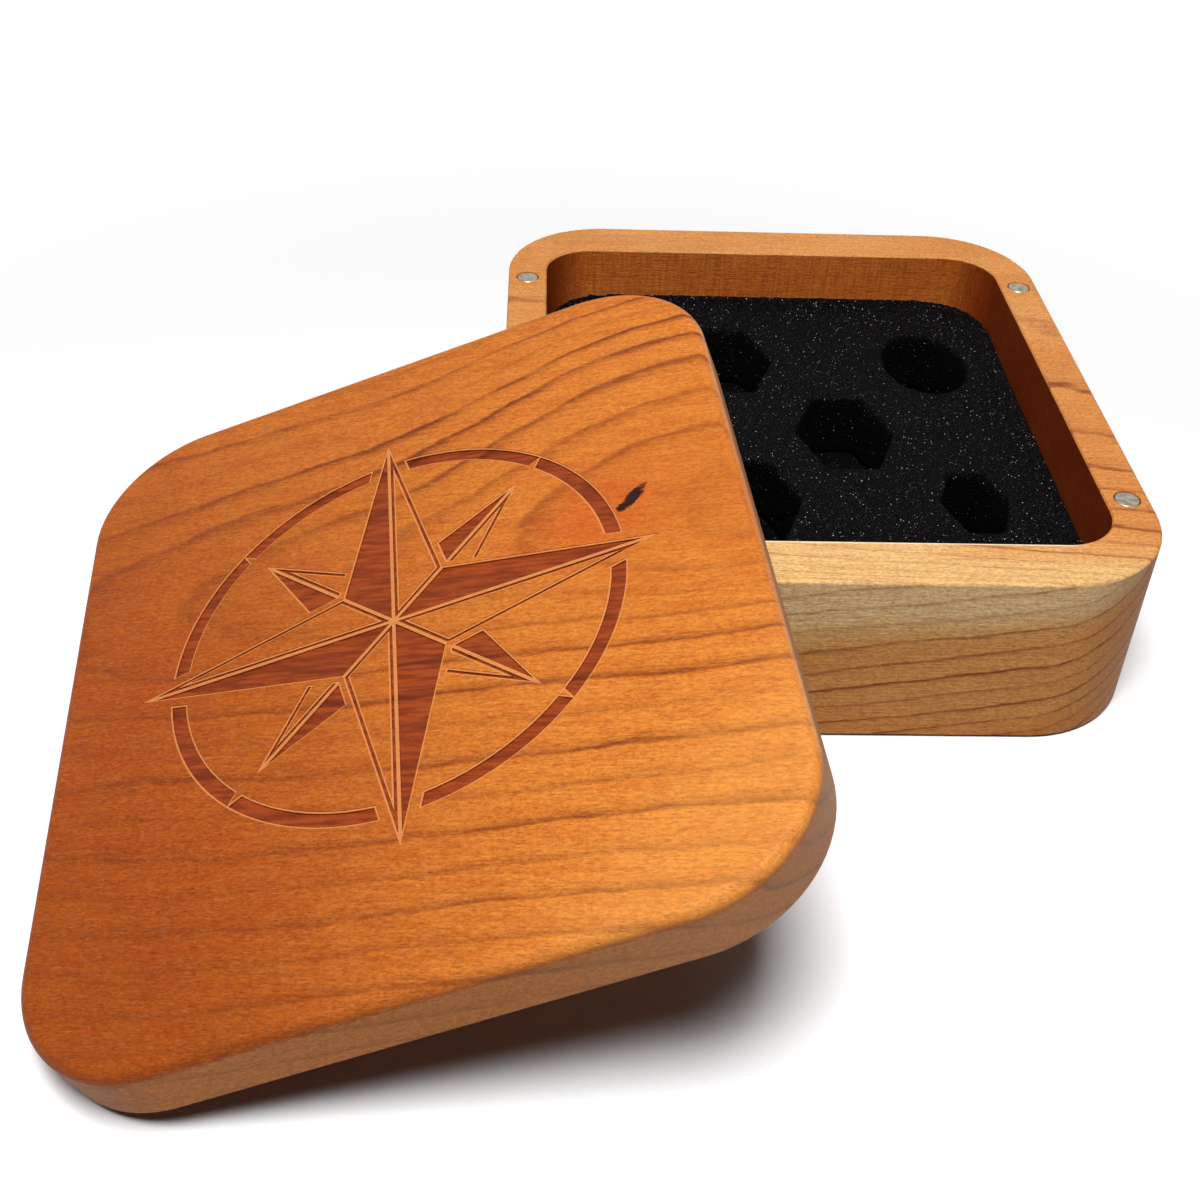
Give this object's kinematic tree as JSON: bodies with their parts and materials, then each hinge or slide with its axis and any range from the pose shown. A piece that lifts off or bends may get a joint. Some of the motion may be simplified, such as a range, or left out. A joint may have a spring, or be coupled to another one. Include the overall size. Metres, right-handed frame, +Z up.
{
  "type": "dice storage chest",
  "caption": "Rounded wooden dice chest: a milled block with a foam insert cut for a dice set, and a lift-off lid held shut by magnets, shown leaning on it.",
  "frame": {"origin": "centre of the chest's underside, on the surface that it stands on", "axes": "+Z up; +X to the right along the chest's front; +Y from its front to its back"},
  "size_m": [0.1956, 0.2215, 0.0631],
  "materials": {
    "cherry": "oiled, satin",
    "cherry_lid": "oiled, satin, engraved",
    "foam": "open-cell foam, matt",
    "nickel": "nickel plate, satin"
  },
  "bodies": {
    "chest": {"chest_body": "cherry", "foam_pad": "foam", "foam_insert": "foam", "rim_magnet_back_left": "nickel", "rim_magnet_back_right": "nickel", "rim_magnet_front_left": "nickel", "rim_magnet_front_right": "nickel"},
    "lid": {"lid": "cherry_lid", "lid_magnet_back_left": "nickel", "lid_magnet_back_right": "nickel", "lid_magnet_front_left": "nickel", "lid_magnet_front_right": "nickel"}
  },
  "joints": [
    {"name": "lid_lift", "type": "slide", "parent": "chest", "child": "lid", "axis": [0, 0, 1], "range_m": [0, 0.09]}
  ]
}
